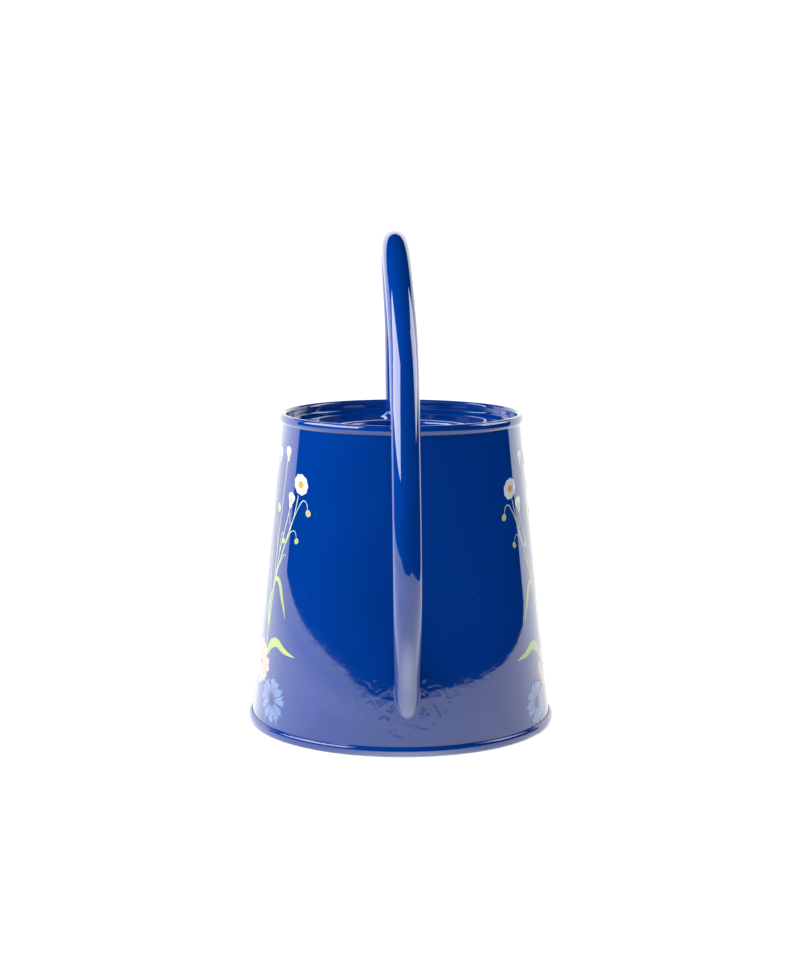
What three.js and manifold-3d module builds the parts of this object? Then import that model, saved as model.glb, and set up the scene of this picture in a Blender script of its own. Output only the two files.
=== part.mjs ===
// An indoor watering can of enamelled sheet steel. Millimetres, +Z up, the spout towards +X.
// The cone of the wall is clasped by a recessed top plate and a recessed base plate. A tube
// handle arches from the top plate to the back of the wall, and a swan-neck spout leaves the
// front of the wall low down. Handle and spout are brazed on, with a ring of filler at each root.
import * as THREE from "three";
import { mergeVertices } from "three/addons/utils/BufferGeometryUtils.js";
import Module from "manifold-3d";

const wasm = await Module();
wasm.setup();

// Body
const bodyHeight = 128; // floor to the top of the rim
const wallFootRadius = 62.2; // outside of the wall at the floor
const wallTopRadius = 48.3; // outside of the wall at bodyHeight
const sheet = 0.45; // steel and enamel
const fitGap = 0.3; // left between pieces that touch

// Seams, where each plate's edge clasps the folded edge of the wall
const seamHeight = 3.8;
const seamFlat = 1.1; // the flat along the crest of a seam
const hemDepth = 2.2; // how far the folded edge of the wall comes back
const seamTuck = 0.35; // how far the clasp turns in below that fold

// Plates
const topRecess = 5; // rim down to the face of the top plate
const baseRecess = 4.6; // floor up to the underside of the base plate
const coveRadius = 1.6;

// Filler opening, behind the middle of the top plate
const fillerRadius = 27.5;
const fillerSetback = 14;
const lipBend = 1.4;
const lipDepth = 3;

// Handle: a tube that stands on the top plate and ends on the back of the wall
const handleRadius = 5.6;
const handleTailRadius = 4.9;
const handleTubeWall = 0.8;
const handleFootReach = 28; // its foot, in front of the body's axis
const handleCrownSetback = 2; // its highest point, behind the axis
const handleRise = 68.4; // rim up to the tube's middle at the crown
const handleBackReach = 80.4; // axis back to the tube's middle at the grip
const handleGripHeight = 72; // where the grip stands upright
const handleTailHeight = 25.6; // where the tube's middle meets the back of the wall
const handleTailSlope = THREE.MathUtils.degToRad(22); // inwards from straight down, where it meets it
const handleTaper = 46; // length over which the tail narrows
const handleLean = THREE.MathUtils.degToRad(1.1); // sideways between its two roots
const handleSway = 1.8; // how much farther sideways the crown is bent
const handleSwayDepth = 47; // from the top of the crown down to where that bend ends

// Spout: a tapered swan neck
const spoutRootHeight = 26;
const spoutRootRadius = 10.2;
const spoutTipRadius = 4.7;
const spoutTubeWall = 0.6;
const spoutReach = 190; // axis forward to the mouth
const spoutTipHeight = 101;
const spoutRootSlope = THREE.MathUtils.degToRad(14); // upwards where it leaves the wall
const spoutTipSlope = THREE.MathUtils.degToRad(-14); // downwards at the mouth
const spoutBeadRadius = 0.8; // the rolled edge of the mouth

// Filler metal at the brazed roots
const footFilletWidth = 3.2;
const spoutRing = { width: 2, height: 1.8 };
const tailRing = { width: 0.8, height: 1 };

const roundSegments = 60; // round the body
const fillerSegments = 40;
const handleRounds = 16;
const handleSteps = 36;
const spoutRounds = 16;
const spoutSteps = 26;
const arcSteps = 3;

const enamel = { color: 0x003a8c, roughness: 0.12, metalness: 0 };
const insideEnamel = { color: 0x03235c, roughness: 0.2, metalness: 0 };

const bodyTaper = (wallFootRadius - wallTopRadius) / bodyHeight;
const wallRadiusAt = (z) => wallFootRadius - bodyTaper * z;
const plateTop = bodyHeight - topRecess;

// The closed outline that lies half a thickness to each side of an open line.
function sheetOutline(line, thickness) {
  const normals = line.slice(1).map((point, i) => {
    const along = point.clone().sub(line[i]).normalize();
    return new THREE.Vector2(-along.y, along.x);
  });
  const offsets = line.map((point, i) => {
    const before = normals[Math.max(i - 1, 0)];
    const after = normals[Math.min(i, normals.length - 1)];
    const middle = before.clone().add(after).normalize();
    return middle.multiplyScalar(thickness / 2 / middle.dot(after));
  });
  const left = line.map((point, i) => point.clone().add(offsets[i]));
  const right = line.map((point, i) => point.clone().sub(offsets[i]));
  return [...left, ...right.reverse(), left[0].clone()];
}

// Turns an outline of (radius, height) points about the Z axis, faces outwards.
function turned(outline, segments) {
  const isClockwise = THREE.ShapeUtils.isClockWise(outline);
  const points = isClockwise ? [...outline].reverse() : outline;
  return new THREE.LatheGeometry(points, segments).rotateX(Math.PI / 2);
}

function solidFrom(geometry) {
  const bare = geometry.clone();
  bare.deleteAttribute("normal");
  bare.deleteAttribute("uv");
  const merged = mergeVertices(bare, 1e-4);
  const vertProperties = merged.attributes.position.array;
  const triVerts = new Uint32Array(merged.index.array);
  return new wasm.Manifold(new wasm.Mesh({ numProp: 3, vertProperties, triVerts }));
}

function pieceMesh(name, solid, finish) {
  const { vertProperties, triVerts } = solid.getMesh();
  const geometry = new THREE.BufferGeometry();
  geometry.setAttribute("position", new THREE.BufferAttribute(vertProperties, 3));
  geometry.setIndex(new THREE.BufferAttribute(triVerts, 1));
  const flat = geometry.toNonIndexed();
  flat.computeVertexNormals();
  const mesh = new THREE.Mesh(flat, new THREE.MeshStandardMaterial(finish));
  mesh.name = name;
  return mesh;
}

// A solid cone that follows the lower part of the wall's outside, grown by an amount.
function wallCone(growth) {
  const low = -bodyHeight / 4;
  const high = Math.max(handleTailHeight, spoutRootHeight) + 4 * spoutRootRadius;
  const outline = [
    new THREE.Vector2(0, low),
    new THREE.Vector2(wallRadiusAt(low) + growth, low),
    new THREE.Vector2(wallRadiusAt(high) + growth, high),
    new THREE.Vector2(0, high),
  ];
  return solidFrom(turned(outline, roundSegments));
}

// Bends a shape that stands along +Z onto a path that lies in the XZ plane.
function bentAlong(geometry, path) {
  const length = path.getLength();
  const side = new THREE.Vector3(0, 1, 0);
  const position = geometry.getAttribute("position");
  for (let i = 0; i < position.count; i++) {
    const local = new THREE.Vector3().fromBufferAttribute(position, i);
    const share = THREE.MathUtils.clamp(local.z / length, 0, 1);
    const along = path.getTangent(share);
    const across = new THREE.Vector3().crossVectors(side, along);
    const place = path.getPoint(share);
    place.addScaledVector(along, local.z - share * length);
    place.addScaledVector(across, local.x);
    place.addScaledVector(side, local.y);
    position.setXYZ(i, place.x, place.y, place.z);
  }
  return geometry;
}

// A round bar's skin along a path. Its radius comes from a function of the length so far.
function barSkin(path, radiusAt, { from = 0, to = path.getLength(), steps, rounds }) {
  const outline = [new THREE.Vector2(0, from)];
  for (let i = 0; i <= steps; i++) {
    const along = THREE.MathUtils.lerp(from, to, i / steps);
    outline.push(new THREE.Vector2(radiusAt(along), along));
  }
  outline.push(new THREE.Vector2(0, to));
  return bentAlong(turned(outline, rounds), path);
}

const inPlane = (x, z) => new THREE.Vector3(x, 0, z);

// Foot on the top plate, over the crown, down the grip, and in through the back of the wall.
function handlePath() {
  const foot = inPlane(handleFootReach, plateTop + fitGap);
  const crown = inPlane(-handleCrownSetback, bodyHeight + handleRise);
  const grip = inPlane(-handleBackReach, handleGripHeight);
  const tail = inPlane(-wallRadiusAt(handleTailHeight), handleTailHeight);
  const riseToCrown = crown.z - foot.z;
  const fallToGrip = crown.z - grip.z;
  const crownToGrip = crown.x - grip.x;
  const tailDirection = inPlane(Math.sin(handleTailSlope), -Math.cos(handleTailSlope));
  const tailRun = (grip.z - tail.z) * 0.36;
  const path = new THREE.CurvePath();
  path.add(
    new THREE.CubicBezierCurve3(
      foot,
      foot.clone().add(inPlane(3.5, riseToCrown * 0.55)),
      crown.clone().add(inPlane((foot.x - crown.x) * 0.87, 0)),
      crown,
    ),
  );
  path.add(
    new THREE.CubicBezierCurve3(
      crown,
      crown.clone().add(inPlane(-crownToGrip * 0.48, 0)),
      grip.clone().add(inPlane(0, fallToGrip * 0.56)),
      grip,
    ),
  );
  path.add(
    new THREE.CubicBezierCurve3(
      grip,
      grip.clone().add(inPlane(0, -tailRun)),
      tail.clone().addScaledVector(tailDirection, -tailRun),
      tail,
    ),
  );
  return path;
}

// Out of the wall, up in a long S, and level again at the mouth.
function spoutPath() {
  const root = inPlane(wallRadiusAt(spoutRootHeight), spoutRootHeight);
  const mouth = inPlane(spoutReach, spoutTipHeight);
  const run = mouth.x - root.x;
  const leaving = inPlane(Math.cos(spoutRootSlope), Math.sin(spoutRootSlope));
  const pouring = inPlane(Math.cos(spoutTipSlope), Math.sin(spoutTipSlope));
  return new THREE.CubicBezierCurve3(
    root,
    root.clone().addScaledVector(leaving, run * 0.45),
    mouth.clone().addScaledVector(pouring, -run * 0.42),
    mouth,
  );
}

// A disc whose edge stands up beside the wall, turns over its end and clasps it from outside.
// The edge is at edgeHeight, and towards is +1 where it opens upwards and -1 where downwards.
function seamedPlate(edgeHeight, towards, recess) {
  const heightAt = (depth) => edgeHeight - towards * depth;
  const innerAt = (depth) => wallRadiusAt(heightAt(depth)) - 1.5 * sheet - fitGap;
  const outerAt = (depth) => wallRadiusAt(heightAt(depth)) + 1.5 * sheet + fitGap;
  const middleDepth = recess + sheet / 2;
  const coveStart = middleDepth - coveRadius;
  const line = [new THREE.Vector2(0, heightAt(middleDepth))];
  const to = (radius, depth) => line.push(new THREE.Vector2(radius, heightAt(depth)));
  for (let i = 0; i <= arcSteps; i++) {
    const turn = ((i / arcSteps) * Math.PI) / 2;
    const radius = innerAt(coveStart) - coveRadius * (1 - Math.sin(turn));
    to(radius, coveStart + coveRadius * Math.cos(turn));
  }
  const cornerRadius = (outerAt(0) - innerAt(0) - seamFlat) / 2;
  const cornerDepth = sheet / 2 + cornerRadius;
  for (let i = 0; i <= arcSteps; i++) {
    const turn = ((i / arcSteps) * Math.PI) / 2;
    const radius = innerAt(cornerDepth) + cornerRadius * (1 - Math.cos(turn));
    to(radius, cornerDepth - cornerRadius * Math.sin(turn));
  }
  for (let i = 0; i <= arcSteps; i++) {
    const turn = ((i / arcSteps) * Math.PI) / 2;
    const radius = outerAt(cornerDepth) - cornerRadius * (1 - Math.sin(turn));
    to(radius, cornerDepth - cornerRadius * Math.cos(turn));
  }
  to(outerAt(seamHeight - 2 * seamTuck), seamHeight - 2 * seamTuck);
  to(outerAt(seamHeight) - seamTuck, seamHeight - sheet / 2);
  return solidFrom(turned(sheetOutline(line, sheet), roundSegments));
}

// The cone of sheet, both edges folded back outwards, with the spout's outlet cut through it.
function bodyWall(outlet) {
  const foot = sheet + fitGap;
  const top = bodyHeight - sheet - fitGap;
  const corner = (z, out) => new THREE.Vector2(wallRadiusAt(z) + out, z);
  const outline = [
    corner(foot, -sheet),
    corner(foot, sheet),
    corner(foot + hemDepth, sheet),
    corner(foot + hemDepth, 0),
    corner(top - hemDepth, 0),
    corner(top - hemDepth, sheet),
    corner(top, sheet),
    corner(top, -sheet),
  ];
  outline.push(outline[0].clone());
  return solidFrom(turned(outline, roundSegments)).subtract(outlet);
}

// The top plate, with its filler opening and the lip turned down round it.
function topPlate() {
  const plate = seamedPlate(bodyHeight, 1, topRecess);
  const middle = plateTop - sheet / 2;
  const cutter = new THREE.CylinderGeometry(
    fillerRadius + lipBend,
    fillerRadius + lipBend,
    4 * lipDepth,
    fillerSegments,
  );
  cutter.rotateX(Math.PI / 2).rotateZ(Math.PI / 2).translate(-fillerSetback, 0, middle);
  const line = [new THREE.Vector2(fillerRadius + 1.5 * lipBend, middle)];
  for (let i = 0; i <= arcSteps; i++) {
    const turn = ((i / arcSteps) * Math.PI) / 2;
    const radius = fillerRadius + sheet / 2 + lipBend * (1 - Math.sin(turn));
    line.push(new THREE.Vector2(radius, middle - lipBend * (1 - Math.cos(turn))));
  }
  line.push(new THREE.Vector2(fillerRadius + sheet / 2, plateTop - lipDepth));
  const lip = turned(sheetOutline(line, sheet), fillerSegments);
  lip.rotateZ(Math.PI / 2).translate(-fillerSetback, 0, 0);
  return plate.subtract(solidFrom(cutter)).add(solidFrom(lip));
}

const handleLine = handlePath();
const handleLength = handleLine.getLength();
const handleEnd = 3 * handleRadius; // carried past the wall, and then trimmed by it

function handleRadiusAt(along) {
  const left = THREE.MathUtils.clamp((handleLength - along) / handleTaper, 0, 1);
  const share = THREE.MathUtils.smoothstep(left, 0, 1);
  return THREE.MathUtils.lerp(handleTailRadius, handleRadius, share);
}

// The handle leans about the line from its foot to its tail, so both roots stay in place.
function leaning(solid) {
  const foot = handleLine.getPoint(0);
  const rootLine = handleLine.getPoint(1).sub(foot).normalize();
  const turn = new THREE.Matrix4().makeTranslation(foot);
  turn.multiply(new THREE.Matrix4().makeRotationAxis(rootLine, handleLean));
  turn.multiply(new THREE.Matrix4().makeTranslation(foot.negate()));
  return solid.transform(turn.elements);
}

// The crown is bent a little farther to the same side.
function swaying(geometry) {
  const top = bodyHeight + handleRise + handleRadius;
  const position = geometry.getAttribute("position");
  for (let i = 0; i < position.count; i++) {
    const share = THREE.MathUtils.smoothstep(position.getZ(i), top - handleSwayDepth, top);
    position.setY(i, position.getY(i) + handleSway * share);
  }
  return geometry;
}

function leaningHandle(growth) {
  const span = { from: -handleEnd, to: handleLength + handleEnd };
  const shape = { steps: handleSteps, rounds: handleRounds };
  const radiusAt = (along) => handleRadiusAt(along) + growth;
  return leaning(solidFrom(swaying(barSkin(handleLine, radiusAt, { ...span, ...shape }))));
}

// What the top plate and the room under it take away from the handle's foot.
function footTrim() {
  const side = 3 * handleEnd;
  const block = new THREE.BoxGeometry(side, side, side);
  block.translate(handleFootReach, 0, plateTop + fitGap - side / 2);
  return solidFrom(block);
}

const spoutLine = spoutPath();
const spoutLength = spoutLine.getLength();
const spoutEnd = 3 * spoutRootRadius; // carried back through the wall, and then trimmed by it

function spoutRadiusAt(along) {
  const share = THREE.MathUtils.clamp(along / spoutLength, 0, 1);
  return THREE.MathUtils.lerp(spoutRootRadius, spoutTipRadius, Math.sqrt(share));
}

function spoutBar(growth, past) {
  const span = { from: -spoutEnd, to: spoutLength + past, steps: spoutSteps, rounds: spoutRounds };
  return solidFrom(barSkin(spoutLine, (along) => spoutRadiusAt(along) + growth, span));
}

// The rolled edge round the spout's mouth.
function mouthBead() {
  const middle = spoutTipRadius - spoutTubeWall / 2;
  const outline = [];
  for (let i = 0; i <= 2 * arcSteps; i++) {
    const turn = (i / arcSteps) * Math.PI;
    const radius = middle + spoutBeadRadius * Math.cos(turn);
    const along = spoutLength - spoutBeadRadius * (1 - Math.sin(turn));
    outline.push(new THREE.Vector2(radius, along));
  }
  outline[outline.length - 1].copy(outline[0]);
  return solidFrom(bentAlong(turned(outline, spoutRounds), spoutLine));
}

// Filler metal round the foot of the handle: a hollow fillet that stands on the top plate.
function footFillet() {
  const inner = handleRadius + fitGap;
  const outline = [new THREE.Vector2(0, 0)];
  for (let i = 0; i <= arcSteps; i++) {
    const turn = ((i / arcSteps) * Math.PI) / 2;
    const radius = inner + footFilletWidth * (1 - Math.sin(turn)) + sheet;
    outline.push(new THREE.Vector2(radius, footFilletWidth * (1 - Math.cos(turn))));
  }
  outline.push(new THREE.Vector2(0, footFilletWidth));
  const fillet = turned(outline, 2 * handleRounds);
  fillet.translate(handleFootReach, 0, plateTop + fitGap);
  return solidFrom(fillet).subtract(leaningHandle(fitGap));
}

// Filler metal round a tube where it meets the wall.
function wallRing(grownBar, { width, height }) {
  const shell = wallCone(fitGap + height).subtract(wallCone(fitGap));
  return grownBar(fitGap + width).intersect(shell).subtract(grownBar(fitGap));
}

const spoutBore = spoutBar(-spoutTubeWall, spoutTipRadius);

const handleTube = leaningHandle(0)
  .subtract(leaningHandle(-handleTubeWall))
  .subtract(footTrim())
  .subtract(wallCone(fitGap));
const spoutTube = spoutBar(0, 0)
  .add(mouthBead())
  .subtract(spoutBore)
  .subtract(wallCone(fitGap));

const body = new THREE.Group();
body.add(pieceMesh("body_wall", bodyWall(spoutBore), enamel));
body.add(pieceMesh("top_plate", topPlate(), enamel));
body.add(pieceMesh("base_plate", seamedPlate(0, -1, baseRecess), insideEnamel));

const handle = new THREE.Group();
handle.add(pieceMesh("handle_tube", handleTube, enamel));
handle.add(pieceMesh("handle_foot_braze", footFillet(), enamel));
handle.add(pieceMesh("handle_tail_braze", wallRing(leaningHandle, tailRing), enamel));

const spout = new THREE.Group();
spout.add(pieceMesh("spout_tube", spoutTube, enamel));
const grownSpout = (growth) => spoutBar(growth, 0);
spout.add(pieceMesh("spout_braze", wallRing(grownSpout, spoutRing), enamel));

const wateringCan = new THREE.Group();
wateringCan.add(body, handle, spout);

// The part's frame: the middle of the floor under its whole outline.
const bounds = new THREE.Box3().setFromObject(wateringCan, true);
const middle = bounds.getCenter(new THREE.Vector3());
wateringCan.position.set(-middle.x, -middle.y, -bounds.min.z);

export default wateringCan;
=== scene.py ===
import math
import random

import bpy
from mathutils import Matrix, Vector
from mathutils.geometry import interpolate_bezier


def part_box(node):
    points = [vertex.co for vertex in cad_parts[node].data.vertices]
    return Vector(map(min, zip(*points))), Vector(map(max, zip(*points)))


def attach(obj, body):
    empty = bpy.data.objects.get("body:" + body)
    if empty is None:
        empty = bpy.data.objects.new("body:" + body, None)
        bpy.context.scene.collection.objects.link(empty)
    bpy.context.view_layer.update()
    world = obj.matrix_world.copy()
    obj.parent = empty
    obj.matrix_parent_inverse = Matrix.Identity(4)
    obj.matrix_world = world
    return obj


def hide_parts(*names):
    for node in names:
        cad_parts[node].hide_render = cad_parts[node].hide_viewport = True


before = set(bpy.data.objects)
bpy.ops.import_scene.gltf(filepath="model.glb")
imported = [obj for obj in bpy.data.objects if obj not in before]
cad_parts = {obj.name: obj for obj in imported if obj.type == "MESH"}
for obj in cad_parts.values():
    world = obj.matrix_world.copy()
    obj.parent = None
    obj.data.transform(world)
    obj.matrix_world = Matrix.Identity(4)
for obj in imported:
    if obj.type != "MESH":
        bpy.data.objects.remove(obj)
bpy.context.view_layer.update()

mm = 0.001
tuck = 0.15 * mm  # how far a tube's end reaches into the sheet it stands on
plateLow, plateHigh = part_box("top_plate")
footLow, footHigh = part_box("base_plate")

# the can stands on the floor, and its own axis is set back from the middle of the object by the spout
can = {
    "axisX": (plateLow.x + plateHigh.x) / 2,
    "height": plateHigh.z,
    "rimRadius": (plateHigh.y - plateLow.y) / 2,
    "footRimRadius": (footHigh.y - footLow.y) / 2,
    "wallFootRadius": 62.2 * mm,
    "wallTopRadius": 48.3 * mm,
    "sheet": 0.45 * mm,
}
wallTaper = (can["wallFootRadius"] - can["wallTopRadius"]) / can["height"]
canAxis = Vector((can["axisX"], 0, 0))


def wallRadiusAt(height):
    return can["wallFootRadius"] - wallTaper * height


def wallNormal(point):
    around = Vector((point.x - can["axisX"], point.y, 0)).normalized()
    return (around + Vector((0, 0, wallTaper))).normalized()


def slideToWall(point, direction, lift=0.0):  # along the direction to the wall's cone, grown by lift
    start = point - canAxis
    reach = can["wallFootRadius"] + lift - wallTaper * start.z
    a = direction.x ** 2 + direction.y ** 2 - (wallTaper * direction.z) ** 2
    b = 2 * (start.x * direction.x + start.y * direction.y + wallTaper * direction.z * reach)
    c = start.x ** 2 + start.y ** 2 - reach ** 2
    root = math.sqrt(b * b - 4 * a * c)
    runs = [(-b - root) / (2 * a), (-b + root) / (2 * a)]
    return point + direction * min(runs, key=abs)


# camera: behind the can, a little above it, looking down the spout's line

view = {
    "distance": 814 * mm,
    "height": 219.6 * mm,
    "turn": 2.4,       # degrees round the can from straight behind
    "heading": 0.04,   # degrees off the can's axis
    "tilt": 8.62,      # degrees down
    "roll": 0.2,
    "lens": 73.66,
    "sensor": 36,
}


def makeCamera():
    turn = math.radians(view["turn"])
    away = Vector((-math.cos(turn), math.sin(turn), 0)) * view["distance"]
    bpy.ops.object.camera_add(location=canAxis + away + Vector((0, 0, view["height"])))
    camera = bpy.context.object
    camera.name = "backCamera"
    yaw = Matrix.Rotation(math.radians(-90 - view["turn"] + view["heading"]), 4, "Z")
    pitch = Matrix.Rotation(math.radians(90 - view["tilt"]), 4, "X")
    roll = Matrix.Rotation(math.radians(view["roll"]), 4, "Z")
    camera.rotation_euler = (yaw @ pitch @ roll).to_euler()
    camera.data.lens = view["lens"]
    camera.data.sensor_width = view["sensor"]
    camera.data.dof.use_dof = False
    bpy.context.scene.camera = camera


makeCamera()
print("camera placed")


# shader writing: sockets that take part in sums, and one way to add any other node

class Value:
    def __init__(self, tree, socket):
        self.tree = tree
        self.socket = socket

    def combine(self, operation, first, second):
        node = self.tree.nodes.new("ShaderNodeMath")
        node.operation = operation
        for place, item in zip(node.inputs, (first, second)):
            if isinstance(item, Value):
                self.tree.links.new(item.socket, place)
            else:
                place.default_value = item
        return Value(self.tree, node.outputs[0])

    def __add__(self, other):
        return self.combine("ADD", self, other)

    def __sub__(self, other):
        return self.combine("SUBTRACT", self, other)

    def __mul__(self, other):
        return self.combine("MULTIPLY", self, other)

    def __truediv__(self, other):
        return self.combine("DIVIDE", self, other)

    def __rsub__(self, other):
        return self.combine("SUBTRACT", other, self)

    def __gt__(self, other):
        return self.combine("GREATER_THAN", self, other)

    def __lt__(self, other):
        return self.combine("LESS_THAN", self, other)

    def __pow__(self, other):
        return self.combine("POWER", self, other)

    __radd__ = __add__
    __rmul__ = __mul__


class Finish:
    def __init__(self, name):
        self.material = bpy.data.materials.new(name)
        self.material.use_nodes = True
        self.tree = self.material.node_tree
        self.tree.nodes.clear()

    def node(self, kind, settings=None, inputs=None, output=0):
        node = self.tree.nodes.new("ShaderNode" + kind)
        for name, setting in (settings or {}).items():
            if name == "stops":
                self.setStops(node, setting)
            else:
                setattr(node, name, setting)
        for name, item in (inputs or {}).items():
            place = node.inputs[name]
            if isinstance(item, Value):
                self.tree.links.new(item.socket, place)
            else:
                place.default_value = item
        return Value(self.tree, node.outputs[output]) if node.outputs else node

    def setStops(self, node, stops):
        ramp = node.color_ramp
        while len(ramp.elements) < len(stops):
            ramp.elements.new(0.5)
        for element, (place, colour) in zip(ramp.elements, stops):
            element.position = place
            element.color = colour

    def smooth(self, value, start, stop):
        inputs = {"Value": value, "From Min": start, "From Max": stop}
        return self.node("MapRange", {"interpolation_type": "SMOOTHSTEP"}, inputs)

    def noise(self, place, scale, detail=2.0):
        return self.node("TexNoise", None, {"Vector": place, "Scale": scale, "Detail": detail})

    def heightOf(self, place):
        return self.node("SeparateXYZ", None, {"Vector": place}, output=2)

    def shade(self, dark, light, amount):
        stops = [(0.0, (*dark, 1)), (1.0, (*light, 1))]
        return self.node("ValToRGB", {"stops": stops}, {"Fac": amount})

    def finish(self, shader):
        self.node("OutputMaterial", None, {"Surface": shader})
        return self.material


enamel = {
    "deep": (0.0, 0.0200, 0.145),
    "bright": (0.0005, 0.0245, 0.172),
    # inside: painted shade, a near-black colour standing in for the unlit inside of the can
    "inside": (0.0, 0.0015, 0.008),
    "index": 1.5, "roughness": 0.035, "cloudRoughness": 0.02, "coatRoughness": 0.02,
    "ripple": 7.0e-6, "rippleScale": 90,  # metres between the highs and lows of the poured coat
    "peel": 0.8e-6, "peelScale": 620,
    "cloudScale": 14, "cloudFrom": 0.3, "cloudTo": 0.7,
}
specks = {"scale": 150, "size": 0.045, "pickScale": 60, "rarity": 0.56, "roughness": 0.3}  # dust in the coat
wear = {  # where the base rubs on what it stands on
    "full": 0.2 * mm, "none": 0.9 * mm, "scale": 260, "from": 0.45, "to": 0.6,
    "share": 0.8, "colour": (0.19, 0.2, 0.22, 1), "roughness": 0.4,
}
tailSwirl = {  # the coat is thicker and uneven round the handle's tail, and a little on the low wall
    "centre": canAxis + Vector((-59, 0, 19)) * mm, "inner": 9 * mm, "outer": 24 * mm,
    "scale": 190, "detail": 1.5, "distortion": 0.9, "height": 0.17 * mm,
    "ragged": 0.03 * mm, "raggedScale": 260, "raggedTo": 12 * mm, "raggedFrom": 55 * mm,
}


def swirlHeight(coat, place):
    apart = {0: place, 1: tailSwirl["centre"]}
    near = coat.node("VectorMath", {"operation": "DISTANCE"}, apart, output=1)
    swirl = 1 - coat.smooth(near, tailSwirl["inner"], tailSwirl["outer"])
    wisps = coat.node("TexNoise", None, {
        "Vector": place, "Scale": tailSwirl["scale"],
        "Detail": tailSwirl["detail"], "Distortion": tailSwirl["distortion"],
    })
    up = coat.heightOf(place) - tailSwirl["centre"].z
    low = 1 - coat.smooth(up, tailSwirl["raggedTo"], tailSwirl["raggedFrom"])
    ragged = low * coat.noise(place, tailSwirl["raggedScale"], detail=3.0) * tailSwirl["ragged"]
    return swirl * wisps * tailSwirl["height"] + ragged


def glossyCoat(name, colourAt, lump=1.0, swirled=False, worn=False):
    coat = Finish(name)
    place = coat.node("TexCoord", None, None, output=3)
    ripple = coat.noise(place, enamel["rippleScale"], detail=3.0)
    peel = coat.noise(place, enamel["peelScale"], detail=1.0)
    height = ripple * (enamel["ripple"] * lump) + peel * enamel["peel"]
    if swirled:
        height = height + swirlHeight(coat, place)
    bump = coat.node("Bump", None, {"Height": height / mm, "Distance": mm, "Strength": 1.0})
    cloud = coat.noise(place, enamel["cloudScale"])
    spots = coat.node("TexVoronoi", None, {"Vector": place, "Scale": specks["scale"]})
    pick = coat.noise(place, specks["pickScale"], detail=0.0)
    speck = (spots < specks["size"]) * (pick > specks["rarity"])
    colour = colourAt(coat, place, cloud)
    roughness = enamel["roughness"] + cloud * enamel["cloudRoughness"] + speck * specks["roughness"]
    if worn:
        low = 1 - coat.smooth(coat.heightOf(place), wear["full"], wear["none"])
        grit = coat.noise(place, wear["scale"], detail=4.0)
        scuff = low * coat.smooth(grit, wear["from"], wear["to"])
        mixed = {0: scuff * wear["share"], 6: colour, 7: wear["colour"]}
        colour = coat.node("Mix", {"data_type": "RGBA"}, mixed, output=2)
        roughness = roughness + scuff * wear["roughness"]
    shader = coat.node("BsdfPrincipled", None, {
        "Base Color": colour,
        "Roughness": roughness,
        "IOR": enamel["index"],
        "Coat Weight": 1.0,
        "Coat Roughness": enamel["coatRoughness"],
        "Coat IOR": enamel["index"],
        "Normal": bump,
    })
    return coat.finish(shader)


def dullCoat(name, colour):
    coat = Finish(name)
    dull = {"Base Color": (*colour, 1), "Roughness": 0.7, "Specular IOR Level": 0.1}
    return coat.finish(coat.node("BsdfPrincipled", None, dull))


def enamelColour(coat, place, cloud):
    amount = coat.smooth(cloud, enamel["cloudFrom"], enamel["cloudTo"])
    return coat.shade(enamel["deep"], enamel["bright"], amount)


def inkColour(dark, light):  # a grainy ink between two shades of it
    def colourAt(coat, place, cloud):
        tone = coat.node("Attribute", {"attribute_name": "tone"}, None, output=2)
        grain = coat.noise(place, printing["grainScale"])
        return coat.shade(dark, light, tone + (grain - 0.5) * printing["grain"])
    return colourAt


# mesh work shared by the pieces

def startShape(name, primitive, **settings):
    bpy.ops.object.select_all(action="DESELECT")
    primitive(**settings)
    piece = bpy.context.object
    piece.name = name
    bpy.ops.object.transform_apply(location=True, rotation=True, scale=True)
    bpy.ops.object.mode_set(mode="EDIT")
    bpy.ops.mesh.select_all(action="SELECT")
    return piece


def endShape(piece, outermost, angle=40):  # the face farthest along outermost has to look that way
    bpy.ops.mesh.select_all(action="SELECT")
    bpy.ops.mesh.remove_doubles(threshold=0.002 * mm)
    bpy.ops.mesh.normals_make_consistent(inside=False)
    bpy.ops.object.mode_set(mode="OBJECT")
    towards = Vector(outermost)
    far = max(piece.data.polygons, key=lambda face: face.center.dot(towards))
    if far.normal.dot(towards) < 0:
        piece.data.flip_normals()
    bpy.ops.object.shade_smooth_by_angle(angle=math.radians(angle))


def growRings(start, rings):  # each ring is a radius, a height and how far its middle is moved along X
    radius, height, middle = start
    for newRadius, newHeight, newMiddle in rings:
        step = (newMiddle - middle, 0, newHeight - height)
        bpy.ops.mesh.extrude_region_move(TRANSFORM_OT_translate={"value": step})
        grow = newRadius / radius
        centre = (can["axisX"] + newMiddle, 0, newHeight)
        bpy.ops.transform.resize(value=(grow, grow, 1), center_override=centre)
        radius, height, middle = newRadius, newHeight, newMiddle


def applyModifier(piece, kind, **settings):
    bpy.ops.object.select_all(action="DESELECT")
    piece.select_set(True)
    bpy.context.view_layer.objects.active = piece
    modifier = piece.modifiers.new(kind.title(), kind)
    for name, setting in settings.items():
        setattr(modifier, name, setting)
    bpy.ops.object.modifier_apply(modifier=modifier.name)


def thicken(piece, outside, inside):  # inwards from the modelled skin
    # the inner faces take the inside material, which is painted shade
    piece.data.materials.append(outside)
    piece.data.materials.append(inside)
    applyModifier(
        piece, "SOLIDIFY", thickness=can["sheet"], offset=-1, use_even_offset=True, material_offset=1,
    )


def settle(piece, material, slot, *nodes):
    if not piece.data.materials:
        piece.data.materials.append(material)
    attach(piece, "root")
    if nodes:
        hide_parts(*nodes)


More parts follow.
